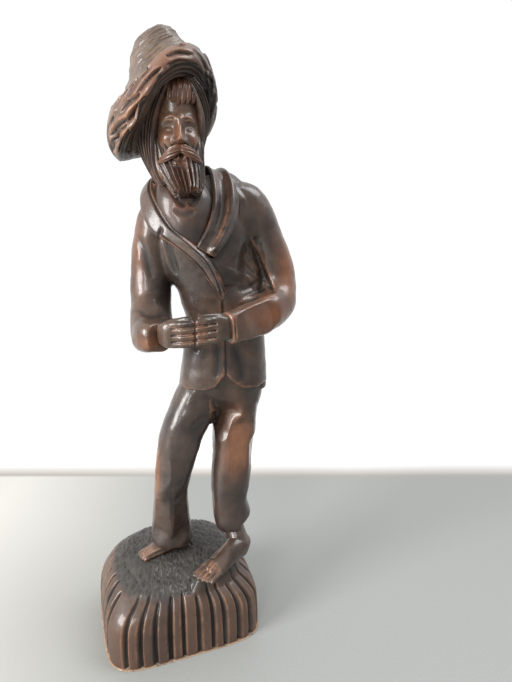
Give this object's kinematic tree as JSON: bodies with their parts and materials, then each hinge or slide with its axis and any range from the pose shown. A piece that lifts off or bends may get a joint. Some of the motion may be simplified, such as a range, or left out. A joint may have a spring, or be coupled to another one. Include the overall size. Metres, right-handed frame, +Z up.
{
  "type": "carved wooden figurine",
  "caption": "Carved standing figure of an old bearded man in a slouch hat and jacket, barefoot on a fluted rock, to stand on a shelf.",
  "frame": {"origin": "middle of the rock's flat underside, on the surface that the figurine stands on", "axes": "+Z up, -Y the way the figure faces, +X towards the figure's own left hand"},
  "size_m": [0.1359, 0.0916, 0.38],
  "materials": {
    "dark_stain": "hardwood under a dark brown stain, rubbed with wax to a satin gloss",
    "worn_stain": "the same stain worn reddish orange along ridges and edges, waxed",
    "weathered_crown": "grey-brown with long knife strokes, nearly matte",
    "fluted_rock": "dark stain, satin on the flutes and punched matte on top"
  },
  "bodies": {
    "root": {"rock_plinth": "fluted_rock", "right_foot": "worn_stain", "left_foot": "worn_stain", "right_trouser_leg": "dark_stain", "left_trouser_leg": "worn_stain", "jacket_body": "dark_stain", "right_sleeve": "dark_stain", "left_sleeve": "worn_stain", "right_hand": "worn_stain", "left_hand": "worn_stain", "shirt_front": "dark_stain", "neck": "dark_stain", "right_lapel": "dark_stain", "left_lapel": "dark_stain", "head": "worn_stain", "beard": "worn_stain", "moustache": "worn_stain", "fringe": "worn_stain", "hair": "dark_stain", "hat": "weathered_crown"}
  },
  "joints": []
}
